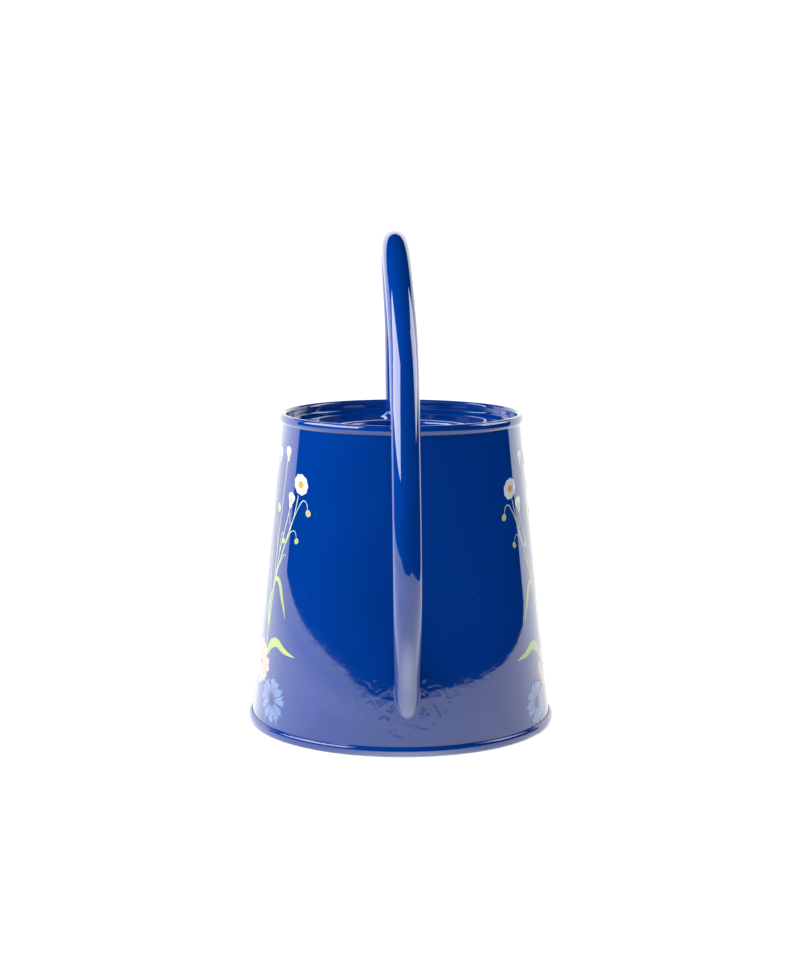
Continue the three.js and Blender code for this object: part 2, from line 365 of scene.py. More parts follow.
def roll(middle, halfWidth, halfHeight, start, stop, steps, square=2.0):
    points = []  # round an oval, which is squared off where square is more than 2
    for i in range(steps + 1):
        turn = math.radians(start + (stop - start) * i / steps)
        c, s = math.cos(turn), math.sin(turn)
        across = math.copysign(abs(c) ** (2 / square), c) * halfWidth
        up = math.copysign(abs(s) ** (2 / square), s) * halfHeight
        points.append((middle[0] + across, middle[1] + up))
    return points


# the wall: one rolled sheet with a hole where the spout starts

wall = {
    "sides": 192, "foot": 1.0 * mm, "top": 126.6 * mm,
    "rings": [4, 9, 14, 20, 26, 32, 38, 44, 56, 70, 84, 98, 112, 122],  # millimetres up
    "holeRadius": 9.4 * mm, "holeSides": 64, "cutDepth": 40 * mm,
}
spout = {
    "rootHeight": 26 * mm, "rootRadius": 10.2 * mm, "tipRadius": 4.7 * mm, "sheet": 0.6 * mm,
    "reach": 190 * mm, "tipHeight": 101 * mm, "rootSlope": 14, "tipSlope": -14,
    "rootPull": 58.8 * mm, "tipPull": 54.85 * mm, "sides": 48, "steps": 44,
}
bead = {  # the rolled edge of the spout's mouth; out, back and room are shares of its radius
    "radius": 0.8 * mm, "out": 0.1, "back": 0.4, "room": 1.6, "from": -75, "to": 200, "steps": 16,
}


def makeWall():
    heights = [wall["foot"]] + [height * mm for height in wall["rings"]] + [wall["top"]]
    rings = [(wallRadiusAt(height), height, 0) for height in heights]
    piece = startShape(
        "bodyWall", bpy.ops.mesh.primitive_circle_add, vertices=wall["sides"], radius=rings[0][0],
        location=canAxis + Vector((0, 0, wall["foot"])), fill_type="NOTHING",
    )
    growRings(rings[0], rings[1:])
    endShape(piece, (1, 0, 0))
    thicken(piece, bodyPaint, paintedShadeInside)
    slope = math.radians(90 - spout["rootSlope"])
    bpy.ops.mesh.primitive_cylinder_add(
        vertices=wall["holeSides"], radius=wall["holeRadius"], depth=wall["cutDepth"], rotation=(0, slope, 0),
        location=(can["axisX"] + wallRadiusAt(spout["rootHeight"]), 0, spout["rootHeight"]),
    )
    cutter = bpy.context.object
    applyModifier(piece, "BOOLEAN", object=cutter, operation="DIFFERENCE", solver="EXACT")
    bpy.data.objects.remove(cutter)
    bpy.ops.object.shade_smooth_by_angle(angle=math.radians(30))
    return piece


# the two plates: a rolled seam round the wall's edge, a step down inside it and a flat

seam = {
    "height": 3.9 * mm, "inner": 1.15 * mm, "square": 2.35, "cove": 1.6 * mm, "flat": 0.5 * mm,
    "underEdge": 0.1 * mm, "underDrop": 1.02, "from": -70, "to": 175, "steps": 22, "bendSteps": 8,
    "sides": 160, "middle": 0.4 * mm,
}
filler = {"radius": 27.5 * mm, "setback": 14 * mm, "lipBend": 1.4 * mm, "lipDepth": 3.0 * mm}
plateDrop = {"top": 5.0 * mm, "base": 4.6 * mm}
baseStep = {"outer": 0.8, "inner": 0.75, "depth": 0.7 * mm}  # radii as shares of the flat


def seamRings(outer, edge, towards, drop):  # from under the roll, over it and down to the flat
    wallThere = wallRadiusAt(edge - towards * seam["height"])
    inner = wallRadiusAt(edge) - seam["inner"]
    middle = ((outer + inner) / 2, edge - towards * seam["height"] / 2)
    half = (outer - inner) / 2
    points = [(wallThere + seam["underEdge"], edge - towards * seam["height"] * seam["underDrop"])]
    bend = roll(middle, half, seam["height"] / 2, seam["from"], seam["to"], seam["steps"], seam["square"])
    for radius, height in bend:
        points.append((radius, middle[1] + towards * (height - middle[1])))
    cove = (inner - seam["cove"], edge - towards * (drop - seam["cove"]))
    for radius, height in roll(cove, seam["cove"], seam["cove"], 0, -90, seam["bendSteps"]):
        points.append((radius, cove[1] + towards * (height - cove[1])))
    points.append((points[-1][0] - seam["flat"], points[-1][1]))
    return [(radius, height, 0) for radius, height in points]


def makeTopPlate():
    rings = seamRings(can["rimRadius"], can["height"], 1, plateDrop["top"])
    flat = can["height"] - plateDrop["top"]
    lipMiddle = (filler["radius"] + filler["lipBend"], flat - filler["lipBend"])
    back = -filler["setback"]
    rings.append((lipMiddle[0] + seam["flat"], flat, back))
    for radius, height in roll(lipMiddle, filler["lipBend"], filler["lipBend"], 90, 180, seam["bendSteps"]):
        rings.append((radius, height, back))
    rings.append((filler["radius"], flat - filler["lipDepth"], back))
    return makePlate("topPlate", rings, (0, 0, 1), plainPaint, closed=False)


def makeBasePlate():
    rings = seamRings(can["footRimRadius"], 0, -1, plateDrop["base"])
    flat, pressed = plateDrop["base"], plateDrop["base"] - baseStep["depth"]
    stepOut, stepIn = baseStep["outer"] * rings[-1][0], baseStep["inner"] * rings[-1][0]
    rings += [(stepOut, flat, 0), (stepIn, pressed, 0)]
    rings += [(0.5 * stepIn, pressed, 0), (0.1 * stepIn, pressed, 0)]
    return makePlate("basePlate", rings, (0, 0, -1), basePaint, closed=True)


def makePlate(name, rings, outermost, paint, closed):
    radius, height, middle = rings[0]
    piece = startShape(
        name, bpy.ops.mesh.primitive_circle_add, vertices=seam["sides"], radius=radius,
        location=(can["axisX"] + middle, 0, height), fill_type="NOTHING",
    )
    growRings(rings[0], rings[1:])
    if closed:
        bpy.ops.mesh.edge_face_add()
        bpy.ops.mesh.inset(thickness=seam["middle"])
        bpy.ops.mesh.merge(type="CENTER")
    endShape(piece, outermost, angle=50)
    thicken(piece, paint, paintedShadeInside)
    return piece


# tubes: a ring carried along a line, turned and resized at every stop

def carryRing(name, stops, sides):  # a stop is a place, its slope from upright in radians and a radius
    place, slope, radius = stops[0]
    piece = startShape(
        name, bpy.ops.mesh.primitive_circle_add, vertices=sides, radius=radius,
        location=place, rotation=(0, slope, 0), fill_type="NOTHING",
    )
    for newPlace, newSlope, newRadius in stops[1:]:
        bpy.ops.mesh.extrude_region_move(TRANSFORM_OT_translate={"value": newPlace - place})
        if abs(newSlope - slope) > 1e-6:
            turn = slope - newSlope  # the operator turns the other way
            bpy.ops.transform.rotate(value=turn, orient_axis="Y", center_override=newPlace)
        grow = newRadius / radius
        bpy.ops.transform.resize(value=(grow, grow, grow), center_override=newPlace)
        place, slope, radius = newPlace, newSlope, newRadius
    return piece


def slopesAlong(points):
    slopes = []
    for i in range(len(points)):
        ahead = points[min(i + 1, len(points) - 1)] - points[max(i - 1, 0)]
        slope = math.atan2(ahead.x, ahead.z)
        while slopes and slope - slopes[-1] > math.pi:
            slope -= 2 * math.pi
        while slopes and slope - slopes[-1] < -math.pi:
            slope += 2 * math.pi
        slopes.append(slope)
    return slopes


def inCan(x, z):  # from the can's own axis, in millimetres
    return canAxis + Vector((x, 0, z)) * mm


handle = {
    "radius": 5.6 * mm, "tailRadius": 4.9 * mm, "taper": 46 * mm, "lean": 1.1,  # degrees
    "sway": 1.8 * mm, "swayFrom": 155 * mm, "swayTo": 202 * mm,
    "past": 30 * mm, "pastSteps": 12, "footTuck": 0.1 * mm, "sides": 40, "steps": 30,
    "foot": inCan(28, 123), "footPull": inCan(31.5, 163.5),
    "crownPull": inCan(24.1, 196.4), "crown": inCan(-2, 196.4), "crownReach": inCan(-39.6, 196.4),
    "backPull": inCan(-80.4, 141.7), "grip": inCan(-80.4, 72), "gripPull": inCan(-80.4, 55.3),
    "tailPull": inCan(-65.68, 41.09), "tail": inCan(-59.42, 25.6),
}


def eased(share):
    share = min(1, max(0, share))
    return share * share * (3 - 2 * share)


def handleLine():
    parts = [
        (handle["foot"], handle["footPull"], handle["crownPull"], handle["crown"]),
        (handle["crown"], handle["crownReach"], handle["backPull"], handle["grip"]),
        (handle["grip"], handle["gripPull"], handle["tailPull"], handle["tail"]),
    ]
    points = [handle["foot"]]
    for part in parts:
        points += interpolate_bezier(*part, handle["steps"])[1:]
    onwards = (handle["tail"] - handle["tailPull"]).normalized() * handle["past"] / handle["pastSteps"]
    for i in range(handle["pastSteps"]):  # on through the wall, which trims it later
        points.append(points[-1] + onwards)
    return points


def handleStops(points):
    left = [0.0]
    for here, there in zip(points[::-1], points[-2::-1]):
        left.append(left[-1] + (there - here).length)
    stops = []
    growth = handle["radius"] - handle["tailRadius"]
    for point, slope, away in zip(points, slopesAlong(points), left[::-1]):
        share = eased((away - handle["past"]) / handle["taper"])
        stops.append((point, slope, handle["tailRadius"] + growth * share))
    return stops


def handleLean():  # the hoop leans to one side about the line from its foot to its tail
    line = (handle["tail"] - handle["foot"]).normalized()
    there = Matrix.Translation(handle["foot"])
    return there @ Matrix.Rotation(math.radians(handle["lean"]), 4, line) @ there.inverted()


def makeHandle():
    stops = handleStops(handleLine())
    piece = carryRing("handleTube", stops, handle["sides"])
    bpy.ops.object.mode_set(mode="OBJECT")
    piece.data.transform(handleLean())
    for corner in piece.data.vertices:
        share = (corner.co.z - handle["swayFrom"]) / (handle["swayTo"] - handle["swayFrom"])
        corner.co.y += handle["sway"] * eased(share)
    for corner in piece.data.vertices[:handle["sides"]]:
        corner.co.z = handle["foot"].z - handle["footTuck"]
    tailLoop = trimAtWall(piece, handle["sides"], len(stops))
    bpy.ops.object.mode_set(mode="EDIT")
    bpy.ops.mesh.select_all(action="DESELECT")
    bpy.ops.mesh.select_mode(type="EDGE")
    bpy.ops.mesh.select_non_manifold()
    bpy.ops.mesh.edge_face_add()
    endShape(piece, (0, 0, 1))
    return piece, tailLoop


def aboveWall(point):  # how far out of the wall's cone, level
    return math.hypot(point.x - can["axisX"], point.y) - wallRadiusAt(point.z)


def trimAtWall(piece, sides, rings):  # every line along the tube stops where it meets the wall
    corners = piece.data.vertices
    loop = []
    for i in range(sides):
        k = next(k for k in range(rings // 2, rings) if aboveWall(corners[k * sides + i].co) < 0)
        outside, inside = corners[(k - 1) * sides + i].co.copy(), corners[k * sides + i].co.copy()
        share = aboveWall(outside) / (aboveWall(outside) - aboveWall(inside))
        meet = outside.lerp(inside, share)
        loop.append((meet, (outside - inside).normalized()))
        for ring in range(k, rings):
            corners[ring * sides + i].co = meet - wallNormal(meet) * tuck
    return loop


def handleFoot():
    stops = handleStops(handleLine())
    line = handleLean().to_3x3() @ (stops[0][0] - stops[1][0]).normalized()
    return stops[0][0], line, stops[0][2]


def spoutLine():
    root = canAxis + Vector((wallRadiusAt(spout["rootHeight"]), 0, spout["rootHeight"]))
    mouth = canAxis + Vector((spout["reach"], 0, spout["tipHeight"]))
    rise, fall = math.radians(spout["rootSlope"]), math.radians(spout["tipSlope"])
    rootPull = root + Vector((math.cos(rise), 0, math.sin(rise))) * spout["rootPull"]
    tipPull = mouth - Vector((math.cos(fall), 0, math.sin(fall))) * spout["tipPull"]
    return interpolate_bezier(root, rootPull, tipPull, mouth, spout["steps"])


def spoutStops(points):
    narrowing = spout["rootRadius"] - spout["tipRadius"]
    stops = []
    for i, (point, slope) in enumerate(zip(points, slopesAlong(points))):
        share = math.sqrt(i / (len(points) - 1))
        stops.append((point, slope, spout["rootRadius"] - narrowing * share))
    return stops


def makeSpout():  # out along the skin, round the rolled mouth and back down the bore
    points = spoutLine()
    skin = spoutStops(points)
    keep = [stop for stop in skin if (points[-1] - stop[0]).length > bead["room"] * bead["radius"]]
    bore = [(place, slope, radius - spout["sheet"]) for place, slope, radius in reversed(keep)]
    piece = carryRing("spoutTube", keep + rollMouth(points, skin[-1][1]) + bore, spout["sides"])
    bpy.ops.object.mode_set(mode="OBJECT")
    back = (points[0] - points[1]).normalized()
    corners = piece.data.vertices
    for corner in corners[:spout["sides"]] + corners[-spout["sides"]:]:
        corner.co = slideToWall(corner.co, back, -tuck)
    bpy.ops.object.mode_set(mode="EDIT")
    bpy.ops.mesh.select_all(action="DESELECT")
    bpy.ops.mesh.select_mode(type="EDGE")
    bpy.ops.mesh.select_non_manifold()
    bpy.ops.mesh.bridge_edge_loops()
    endShape(piece, (1, 0, 0))
    return piece


def rollMouth(points, slope):  # the rolled edge, from its underside on the skin to the bore
    along = (points[-1] - points[-2]).normalized()
    middle = (spout["tipRadius"] + bead["out"] * bead["radius"], 0)
    ring = roll(middle, bead["radius"], bead["radius"], bead["from"], bead["to"], bead["steps"])
    stops = []
    for radius, run in ring:
        stops.append((points[-1] + along * (run - bead["back"] * bead["radius"]), slope, radius))
    return stops


def spoutRoot():
    points = spoutLine()
    return points[0], (points[0] - points[1]).normalized(), spout["rootRadius"]


# filler metal: a hollow-sided ring between a tube and the sheet it stands on

braze = {
    "foot": {"reach": 3.4 * mm, "rise": 3.4 * mm, "lump": 0.12},
    "tail": {"reach": 0.7 * mm, "rise": 0.9 * mm, "lump": 0.08},
    "spout": {"reach": 2.1 * mm, "rise": 2.2 * mm, "lump": 0.12},
    "around": 72, "across": 9, "tuck": 0.05 * mm, "depth": 0.3 * mm,
}


def ontoPlate(point, direction):
    return point + direction * ((can["height"] - plateDrop["top"] - point.z) / direction.z)


def rootLoop(middle, line, radius, onto):  # where a straight tube's lines meet the sheet, and the way back
    side = line.cross(Vector((0, 1, 0))).normalized()
    other = line.cross(side)
    loop = []
    for i in range(braze["around"]):
        turn = 2 * math.pi * i / braze["around"]
        out = side * math.cos(turn) + other * math.sin(turn)
        loop.append((onto(middle + out * (radius - braze["tuck"]), line), -line))
    return loop


def makeBraze(name, loop, size, settled, normalAt, seed):
    dice = random.Random(seed)
    waves = []  # the ring is a little uneven
    for k in (2, 3, 5, 8, 11):
        waves.append((k, dice.uniform(0, 2 * math.pi), dice.uniform(0.4, 1) / k ** 0.5))
    count, across = len(loop), braze["across"]
    middle = sum((corner for corner, back in loop), Vector()) / count
    points = []
    faces = []
    for i, (corner, back) in enumerate(loop):
        turn = 2 * math.pi * i / count
        normal = normalAt(corner)
        onwards = loop[(i + 1) % count][0] - loop[i - 1][0]
        spread = onwards.cross(normal).normalized()
        if spread.dot(corner - middle) < 0:
            spread = -spread
        uneven = 1 + sum(share * math.cos(k * turn + phase) for k, phase, share in waves) * size["lump"]
        up = corner + back * size["rise"] * uneven - spread * braze["tuck"]
        away = settled(corner + spread * size["reach"] * uneven, normal)
        for j in range(across):
            t = j / (across - 1)
            points.append(up * (1 - t) ** 2 + corner * 2 * t * (1 - t) + away * t ** 2)
        points.append(corner - (normal + spread) * braze["depth"])
    ring = across + 1
    for i in range(count):
        for j in range(ring):
            here, there = i * ring, (i + 1) % count * ring
            faces.append((here + j, here + (j + 1) % ring, there + (j + 1) % ring, there + j))
    mesh = bpy.data.meshes.new(name)
    mesh.from_pydata(points, [], faces)
    piece = bpy.data.objects.new(name, mesh)
    bpy.context.scene.collection.objects.link(piece)
    bpy.ops.object.select_all(action="DESELECT")
    bpy.context.view_layer.objects.active = piece
    piece.select_set(True)
    bpy.ops.object.mode_set(mode="EDIT")
    bpy.ops.mesh.select_all(action="SELECT")
    bpy.ops.mesh.normals_make_consistent(inside=False)
    bpy.ops.object.mode_set(mode="OBJECT")
    bpy.ops.object.shade_smooth_by_angle(angle=math.radians(60))
    return piece


def plateNormal(point):
    return Vector((0, 0, 1))


def settledOnPlate(point, normal):
    return Vector((point.x, point.y, can["height"] - plateDrop["top"] - braze["tuck"]))


def settledOnWall(point, normal):
    return slideToWall(point, normal, -braze["tuck"])


# the printed meadow: flat drawings in coloured ink, laid on the wall

printing = {"lift": 0.02 * mm, "layerStep": 0.008 * mm, "grainScale": 900, "grain": 0.35}
inkShades = {  # the dark and the light shade of each ink
    "stems": ((0.18, 0.26, 0.10), (0.40, 0.46, 0.28)),
    "leaves": ((0.11, 0.17, 0.03), (0.25, 0.32, 0.08)),
    "white": ((0.29, 0.32, 0.38), (0.41, 0.43, 0.47)),
    "creases": ((0.42, 0.40, 0.24), (0.38, 0.42, 0.47)),
    "yellow": ((0.29, 0.18, 0.03), (0.38, 0.27, 0.09)),
    "pink": ((0.27, 0.15, 0.14), (0.38, 0.30, 0.28)),
    "blue": ((0.018, 0.052, 0.17), (0.11, 0.19, 0.40)),
    "darkBlue": ((0.004, 0.011, 0.065), (0.07, 0.065, 0.24)),
}


class Ink:
    def __init__(self, name):
        self.name = name
        self.points = []
        self.faces = []
        self.tones = []

    def lay(self, spot, points, tones, faces, layer):
        start = len(self.points)
        self.points += [spot.onWall(x, z, layer) for x, z in points]
        self.tones += tones
        order = slice(None, None, spot.side)  # the mirrored side is drawn the other way round
        self.faces += [[start + corner for corner in face][order] for face in faces]


class Spray:  # one side's copy of the drawing: mirrored, moved round the can and dropped
    def __init__(self, side, turned, drop):
        self.side = side
        self.turned = turned
        self.drop = drop

    def flat(self, degrees, height):
        z = (height - self.drop) * mm
        return Vector((math.radians(degrees) * wallRadiusAt(z), z))

    def onWall(self, x, z, layer):
        turn = self.side * (x / wallRadiusAt(z) + math.radians(self.turned))
        radius = wallRadiusAt(z) + printing["lift"] + printing["layerStep"] * layer
        return (can["axisX"] - radius * math.cos(turn), -radius * math.sin(turn), z)


def easedLine(knots, rows):  # a smooth line through the knots
    ends = [2 * knots[0] - knots[1]] + knots + [2 * knots[-1] - knots[-2]]
    points = []
    pieces = len(knots) - 1
    for i in range(rows + 1):
        place = pieces * i / rows
        k = min(int(place), pieces - 1)
        t = place - k
        a, b, c, d = ends[k:k + 4]
        square, cube = 2 * a - 5 * b + 4 * c - d, 3 * b - a - 3 * c + d
        points.append(0.5 * (2 * b + (c - a) * t + square * t * t + cube * t ** 3))
    return points


def leafWidth(t):
    return max(0.03, math.sin(math.pi * t ** 0.75) ** 0.85)


def stemWidth(t):
    return 1 - 0.45 * t


def petalWidth(t):
    return max(0.05, math.sqrt(max(0, 1 - (1.75 * t - 0.78) ** 2)) * (0.35 + 0.75 * t))


def stroke(ink, spot, knots, width, widthAt, rows=10, layer=0, tones=(0, 1)):
    line = easedLine(knots, rows)
    points, shades, faces = [], [], []
    for i, point in enumerate(line):
        ahead = line[min(i + 1, rows)] - line[max(i - 1, 0)]
        across = Vector((-ahead.y, ahead.x)).normalized() * width * mm / 2 * widthAt(i / rows)
        points += [point + across, point, point - across]
        tone = tones[0] + (tones[1] - tones[0]) * i / rows
        shades += [tone, tone + 0.12, tone]
    for i in range(rows):
        a = 3 * i
        faces += [(a, a + 1, a + 4, a + 3), (a + 1, a + 2, a + 5, a + 4)]
    ink.lay(spot, points, shades, faces, layer)


def dab(ink, spot, centre, wide, tall, layer=0, tones=(0, 1), lobes=0, depth=0.0, lean=0.0, sides=22):
    points, shades, faces = [centre], [tones[0]], []
    tilt = math.radians(lean)
    for ring in (0.5, 1.0):
        for i in range(sides):
            turn = 2 * math.pi * i / sides
            reach = ring * (1 - ring * depth * (1 - abs(math.sin(lobes * turn / 2 + lean))))
            x, z = wide * mm / 2 * reach * math.cos(turn), tall * mm / 2 * reach * math.sin(turn)
            tilted = (x * math.cos(tilt) - z * math.sin(tilt), x * math.sin(tilt) + z * math.cos(tilt))
            points.append(centre + Vector(tilted))
            shades.append(tones[0] + (tones[1] - tones[0]) * ring)
    for i in range(sides):
        j = (i + 1) % sides
        faces.append((0, 1 + i, 1 + j))
        faces.append((1 + i, 1 + sides + i, 1 + sides + j, 1 + j))
    ink.lay(spot, points, shades, faces, layer)


def around(centre, reach, degrees):
    turn = math.radians(degrees)
    return centre + Vector((math.cos(turn), math.sin(turn))) * reach * mm


inks = {name: Ink(name) for name in inkShades}


def daisy(spot, centre, wide, tall, dice):
    lean = dice.uniform(0, 60)
    dab(inks["white"], spot, centre, wide, tall, 3, (0.75, 1.0), lobes=9, depth=0.09, lean=lean, sides=90)
    for k in range(9):
        turn = lean + 40 * k + dice.uniform(-8, 8)
        ends = [around(centre, wide * 0.2, turn), around(centre, wide * dice.uniform(0.36, 0.42), turn + 4)]
        stroke(inks["creases"], spot, ends, 0.22, stemWidth, 4, 4, (0.2, 0.7))
    dab(inks["creases"], spot, centre, wide * 0.44, tall * 0.42, 5, (0.0, 0.25))
    dab(inks["yellow"], spot, centre, wide * 0.34, tall * 0.32, 6, (0.9, 0.25), lobes=7, depth=0.05)


def sideDaisy(spot, centre, wide, tall, lean, dice):
    for k, turn in enumerate((-34, -12, 12, 34)):
        ends = [around(centre, tall * 0.45, lean + 180), around(centre, tall * 0.5, lean + turn)]
        stroke(inks["white"], spot, ends, wide * 0.62, petalWidth, 9, 3 + k % 2, (0.6, 1.0))
    base = around(centre, tall * 0.42, lean + 180)
    dab(inks["stems"], spot, base, wide * 0.42, wide * 0.5, 5, (0.4, 0.7))
    dab(inks["yellow"], spot, around(centre, tall * 0.1, lean + 180), wide * 0.3, wide * 0.4, 6, (0.9, 0.5))


def bud(spot, centre, wide, tall, lean=0.0):
    dab(inks["stems"], spot, centre, wide, tall, 3, (0.9, 0.4), lean=lean)
    dab(inks["yellow"], spot, centre, wide * 0.55, tall * 0.62, 4, (0.8, 0.6), lean=lean)


def pompon(spot, centre, radius, dice):
    rings = [(1.0, 15, 0.46), (0.76, 12, 0.42), (0.52, 9, 0.36), (0.3, 6, 0.3)]  # reach, count and width
    for ring, (reach, count, width) in enumerate(rings):
        for k in range(count):
            turn = 360 * k / count + 13 * ring + dice.uniform(-5, 5)
            root = around(centre, radius * reach * 0.25, turn)
            tip = around(centre, radius * reach * dice.uniform(0.92, 1.05), turn + dice.uniform(-4, 4))
            tones = (0.08 * ring, dice.uniform(0.7, 1.0))
            stroke(inks["pink"], spot, [root, tip], radius * width, petalWidth, 8, 2 * ring + k % 2, tones)


def cornflower(spot, centre, radius, dice):
    rings = [(1.0, 12), (0.74, 9)]  # reach and count
    for ring, (reach, count) in enumerate(rings):
        for k in range(count):
            turn = 360 * k / count + 17 * ring + dice.uniform(-6, 6)
            base = around(centre, radius * 0.16, turn)
            for tooth in range(-2, 3):
                length = radius * reach * dice.uniform(0.82, 1.04) * (1 - 0.05 * abs(tooth))
                middle = around(centre, radius * reach * 0.55, turn + tooth * 3.2)
                tip = around(centre, length, turn + tooth * 6.5)
                tones = (0.05 + 0.15 * ring, dice.uniform(0.65, 1.0))
                layer = 4 + (tooth + k) % 3
                stroke(inks["blue"], spot, [base, middle, tip], radius * 0.13, leafWidth, 7, layer, tones)
    for k in range(16):
        turn = 22.5 * k + dice.uniform(-9, 9)
        ends = [around(centre, radius * 0.04, turn), around(centre, radius * dice.uniform(0.2, 0.36), turn)]
        stroke(inks["darkBlue"], spot, ends, radius * 0.055, stemWidth, 4, 8, (0.1, dice.uniform(0.4, 1)))


def spray(side, turned, drop, seed, low=True):  # degrees round from the back, millimetres up
    dice = random.Random(seed)
    spot = Spray(side, turned, drop)
    at = spot.flat

    def line(ink, width, widthAt, rows, layer, tones, knots):
        stroke(inks[ink], spot, [at(*knot) for knot in knots], width, widthAt, rows, layer, tones)

    def stalk(width, *knots, rows=18):
        line("stems", width, stemWidth, rows, 0, (0.5, 0.95), knots)

    def leaf(width, tones, *knots):
        line("leaves", width, leafWidth, 16, 1, tones, knots)

    stalk(0.75, (71.5, 30), (70.4, 48), (68.6, 62), (62.5, 77), (57.2, 88), (54.6, 98))
    stalk(0.6, (68.6, 62), (66.6, 74), (62.6, 86), (60.4, 93))
    stalk(0.5, (59.4, 84), (54.8, 92), (51.2, 96.2), (48.4, 95.4), (47.4, 92.6))
    stalk(0.6, (69.6, 58), (69.6, 76), (68.4, 94), (67.4, 111))
    stalk(0.6, (72.6, 56), (76.4, 76), (78.6, 94), (80.0, 110))
    stalk(0.45, (70.2, 76), (71.6, 84), (72.0, 90))
    stalk(0.4, (66.8, 72.6), (66.8, 79.6), (65.2, 81.8), (64.2, 79.6))
    stalk(0.4, (61.2, 78.6), (58.2, 83.0), (55.0, 83.6), (53.6, 81.2))
    stalk(0.4, (65.2, 69), (62.4, 73.4), (60.4, 73.2), rows=8)
    stalk(0.35, (59.2, 86), (60.4, 89.4), (60.0, 90.4), rows=6)
    daisy(spot, at(53.4, 102.5), 9.2, 8.3, dice)
    sideDaisy(spot, at(60.0, 96.0), 5.8, 5.4, 104, dice)
    sideDaisy(spot, at(66.9, 113.8), 5.4, 5.2, 88, dice)
    sideDaisy(spot, at(77.6, 112.4), 6.0, 5.4, 96, dice)
    bud(spot, at(47.0, 91.7), 2.9, 2.7, 12)
    bud(spot, at(72.0, 91.2), 3.4, 3.6)
    bud(spot, at(64.0, 78.9), 2.9, 2.2, -20)
    bud(spot, at(53.3, 80.0), 2.8, 2.2, -35)
    leaf(2.5, (0.9, 0.5), (69.4, 62.6), (64.4, 62.4), (60.2, 55.5), (56.4, 47.8))
    leaf(2.2, (0.8, 0.4), (70.2, 58.4), (72.6, 52), (71.6, 45), (70.5, 39.4))
    if not low:
        return
    leaf(3.7, (0.55, 0.95), (70.0, 31.0), (66.8, 36.0), (61.6, 38.0), (55.4, 35.6), (48.4, 34.2))
    vein = [(69.2, 32.4), (64.8, 36.6), (58.0, 36.6), (51.2, 35.0)]
    line("stems", 0.3, stemWidth, 14, 2, (0.1, 0.4), vein)
    pompon(spot, at(75.4, 27.6), 9.0, dice)
    cornflower(spot, at(61.4, 14.8), 10.6, dice)


def drawMeadow():  # which side, degrees round, millimetres down, and a seed
    spray(-1, 0, 0.0, 11)
    spray(1, 1.4, 2.0, 12)
    for side, seed in ((-1, 21), (1, 22)):
        spray(side, 33, 3.5, seed)
        spray(side, 68, 0.5, seed + 10)
        spray(side, 99, 4.0, seed + 20, low=False)


def layInk(ink):
    mesh = bpy.data.meshes.new(ink.name)
    mesh.from_pydata(ink.points, [], ink.faces)
    tone = mesh.attributes.new("tone", "FLOAT", "POINT")
    tone.data.foreach_set("value", ink.tones)
    for face in mesh.polygons:
        face.use_smooth = True
    if mesh.polygons[0].normal.dot(wallNormal(mesh.polygons[0].center)) < 0:
        mesh.flip_normals()
    mesh.normals_split_custom_set_from_vertices([wallNormal(corner.co) for corner in mesh.vertices])
    piece = bpy.data.objects.new("print" + ink.name[0].upper() + ink.name[1:], mesh)
    bpy.context.scene.collection.objects.link(piece)
    return piece


# building

bodyPaint = glossyCoat("wallEnamel", enamelColour, swirled=True)
plainPaint = glossyCoat("plainEnamel", enamelColour, lump=0.35)
tubePaint = glossyCoat("tubeEnamel", enamelColour, lump=0.6)
brazePaint = glossyCoat("brazeEnamel", enamelColour, lump=3.0)
basePaint = glossyCoat("baseEnamel", enamelColour, worn=True)
# painted shade: the inner faces of the wall and plates are made near black for the dark inside of the can
paintedShadeInside = dullCoat("insideLining", enamel["inside"])

settle(makeWall(), bodyPaint, "wall_enamel", "body_wall")
print("wall rolled")
settle(makeTopPlate(), plainPaint, "plate_enamel", "top_plate")
settle(makeBasePlate(), basePaint, "base_enamel", "base_plate")
print("plates seamed")
handleTube, tailLoop = makeHandle()
settle(handleTube, tubePaint, "handle_enamel", "handle_tube")
settle(makeSpout(), tubePaint, "spout_enamel", "spout_tube")
print("tubes bent")

footLoop = rootLoop(*handleFoot(), ontoPlate)
mouthLoop = rootLoop(*spoutRoot(), slideToWall)
footFillet = makeBraze("handleFootBraze", footLoop, braze["foot"], settledOnPlate, plateNormal, 3)
settle(footFillet, brazePaint, "braze_enamel", "handle_foot_braze")
tailFillet = makeBraze("handleTailBraze", tailLoop, braze["tail"], settledOnWall, wallNormal, 4)
settle(tailFillet, brazePaint, "braze_enamel", "handle_tail_braze")
spoutFillet = makeBraze("spoutBraze", mouthLoop, braze["spout"], settledOnWall, wallNormal, 5)
settle(spoutFillet, brazePaint, "braze_enamel", "spout_braze")
print("filler metal run in")

drawMeadow()
for name, ink in inks.items():
    dark, light = inkShades[name]
    settle(layInk(ink), glossyCoat(name + "Ink", inkColour(dark, light)), "wall_enamel")
print("meadow printed")


# studio: a white room and floor, two soft boxes, and black screens that only the gloss sees

studio = {
    "white": 1.25, "floorRadius": 1.6, "floorSides": 96, "floorSink": 0.05 * mm,
    "paper": (0.25, 0.25, 0.25, 1), "paperGlow": 0.85,  # lit from below too
    "screenHeight": 1.0, "roof": [(-1.5, -1.5), (1.4, -1.5), (1.4, 1.5), (-1.5, 1.5)],
    "screen": [(0.35, 0.80), (-0.32, 0.80), (-0.60, 0.64), (-0.59, -0.32), (-0.40, -0.40), (-0.20, -0.43),
               (0.14, -0.40), (0.23, -0.47), (0.27, -0.67), (0.40, -1.23), (0.95, -2.4)],
    "boxHeight": 140 * mm, "boxSteps": 12,
}
